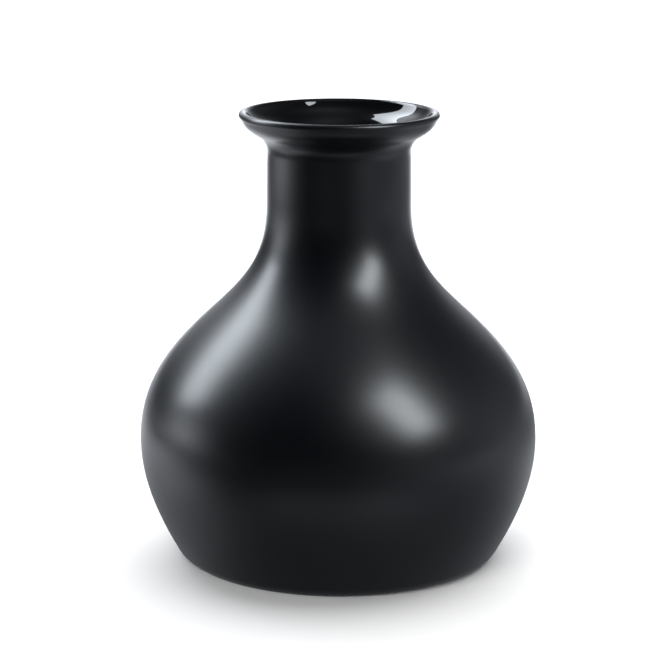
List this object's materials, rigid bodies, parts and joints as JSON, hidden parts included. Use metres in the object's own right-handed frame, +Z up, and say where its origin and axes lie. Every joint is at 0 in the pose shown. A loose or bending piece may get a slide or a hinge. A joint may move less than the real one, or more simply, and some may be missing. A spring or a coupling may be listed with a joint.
{
  "type": "empty candle jar",
  "caption": "Empty candle vessel: a bulb-shaped glass body with a long neck, a flared mouth and a satin black outside, standing on a flat ring.",
  "frame": {"origin": "centre of the standing ring, on the surface that the vessel stands on", "axes": "+Z up along the vessel's axis; it is round, so +X and +Y are free"},
  "size_m": [0.14, 0.14, 0.158],
  "materials": {
    "glass": "fire-polished clear glass, which looks glossy black against the lacquer behind it",
    "lacquer": "satin black sprayed lacquer"
  },
  "bodies": {
    "root": {"glass_vessel": "glass", "body_coat": "lacquer", "base_coat": "lacquer"}
  },
  "joints": []
}
